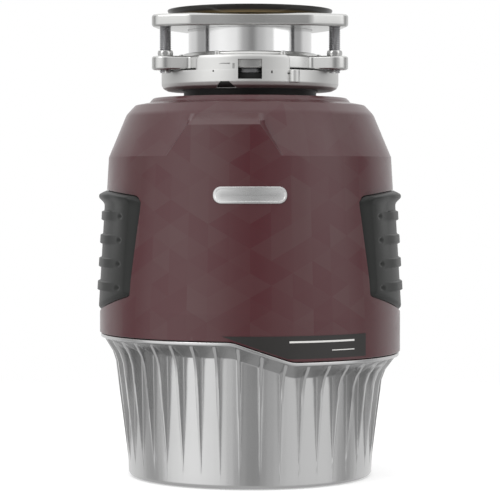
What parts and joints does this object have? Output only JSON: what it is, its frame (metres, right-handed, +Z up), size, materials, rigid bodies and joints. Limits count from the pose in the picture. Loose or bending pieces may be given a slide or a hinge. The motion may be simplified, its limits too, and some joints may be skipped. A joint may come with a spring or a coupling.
{
  "type": "kitchen garbage disposal",
  "caption": "Cylindrical under-sink food waste disposer with a three-bolt sink mount, maroon shroud, rubber side grips and a finned silver base.",
  "frame": {"origin": "centre of the wrench hole in the base's underside, on the motor axis", "axes": "+Z up along the motor axis to the sink, -Y the front with the badge and the label band, +Y the discharge outlet at the back"},
  "size_m": [0.2122, 0.2126, 0.3215],
  "materials": {
    "chrome_mount": "polished steel",
    "zinc_steel": "zinc plated",
    "gasket_fibre": "dark pressed fibre with a bronze sheen",
    "black_rubber": "matt moulded",
    "grip_rubber": "soft charcoal, fine grain",
    "stainless": "drawn stainless, turned marks",
    "black_plastic": "moulded",
    "cast_aluminium": "die cast, shot blasted",
    "base_silver": "satin silver",
    "sintered_bronze": "oiled sintered bronze",
    "core_steel": "laminated and ground",
    "enamelled_copper": "varnished copper wire",
    "lead_insulation": "wire insulation",
    "cover_steel": "satin",
    "green_screw": "green anodised",
    "red_button": "glossy",
    "capacitor_can": "phenolic",
    "maroon_shroud": "satin maroon with tone-on-tone facets",
    "foam": "expanded polystyrene",
    "label_black": "printed film",
    "badge_silver": "satin"
  },
  "bodies": {
    "housing": {"sink_flange": "chrome_mount", "fibre_gasket": "gasket_fibre", "backup_flange": "chrome_mount", "upper_mounting_ring": "chrome_mount", "backup_screws": "zinc_steel", "jam_nuts": "zinc_steel", "snap_ring": "zinc_steel", "mounting_gasket": "black_rubber", "hopper": "stainless", "hopper_seal": "black_rubber", "hopper_band": "zinc_steel", "dishwasher_inlet": "black_plastic", "dishwasher_plug": "black_plastic", "shredder_ring": "stainless", "drain_housing": "cast_aluminium", "upper_bearing": "sintered_bronze", "shaft_seal": "black_rubber", "lower_bearing": "sintered_bronze", "stator_core": "core_steel", "stator_windings": "enamelled_copper", "lower_end_frame": "cast_aluminium", "motor_bolts": "zinc_steel", "motor_leads": "lead_insulation", "base_shell": "base_silver", "base_screws": "zinc_steel", "terminal_cover": "cover_steel", "terminal_cover_screws": "zinc_steel", "ground_screw": "green_screw", "overload_protector": "black_plastic", "start_capacitor": "capacitor_can", "capacitor_bracket": "zinc_steel", "start_relay": "black_plastic", "outer_shroud": "maroon_shroud", "outlet_grommet": "black_rubber", "sound_insulation": "foam", "right_grip": "grip_rubber", "left_grip": "grip_rubber", "label_band": "label_black", "badge": "badge_silver"},
    "locking_ring": {"lower_mounting_ring": "chrome_mount"},
    "rotor": {"rotor_shaft": "core_steel", "rotor_core": "core_steel", "rotor_end_rings": "cast_aluminium", "water_slinger": "black_rubber", "thrust_washer": "zinc_steel", "turntable": "stainless", "lug_rivets": "stainless", "turntable_nut": "stainless"},
    "east_lug": {"swivel_lug_east": "stainless"},
    "west_lug": {"swivel_lug_west": "stainless"},
    "baffle": {"splash_baffle": "black_rubber"},
    "button": {"reset_button": "red_button"}
  },
  "joints": [
    {"name": "rotor_spin", "type": "hinge", "parent": "housing", "child": "rotor", "pos_m": [0, 0, 0.1], "axis": [0, 0, 1], "continuous": true},
    {"name": "east_lug_swing", "type": "hinge", "parent": "rotor", "child": "east_lug", "pos_m": [0.044, 0, 0.162], "axis": [0, 0, 1], "continuous": true},
    {"name": "west_lug_swing", "type": "hinge", "parent": "rotor", "child": "west_lug", "pos_m": [-0.044, 0, 0.162], "axis": [0, 0, 1], "continuous": true},
    {"name": "locking_ring_turn", "type": "hinge", "parent": "housing", "child": "locking_ring", "pos_m": [0, 0, 0.27], "axis": [0, 0, 1], "range_deg": [0, 12]},
    {"name": "baffle_lift", "type": "slide", "parent": "housing", "child": "baffle", "axis": [0, 0, 1], "range_m": [0, 0.12]},
    {"name": "reset_button_press", "type": "slide", "parent": "housing", "child": "button", "axis": [0, 0, 1], "range_m": [0, 0.003], "stiffness_N_per_m": 400}
  ]
}
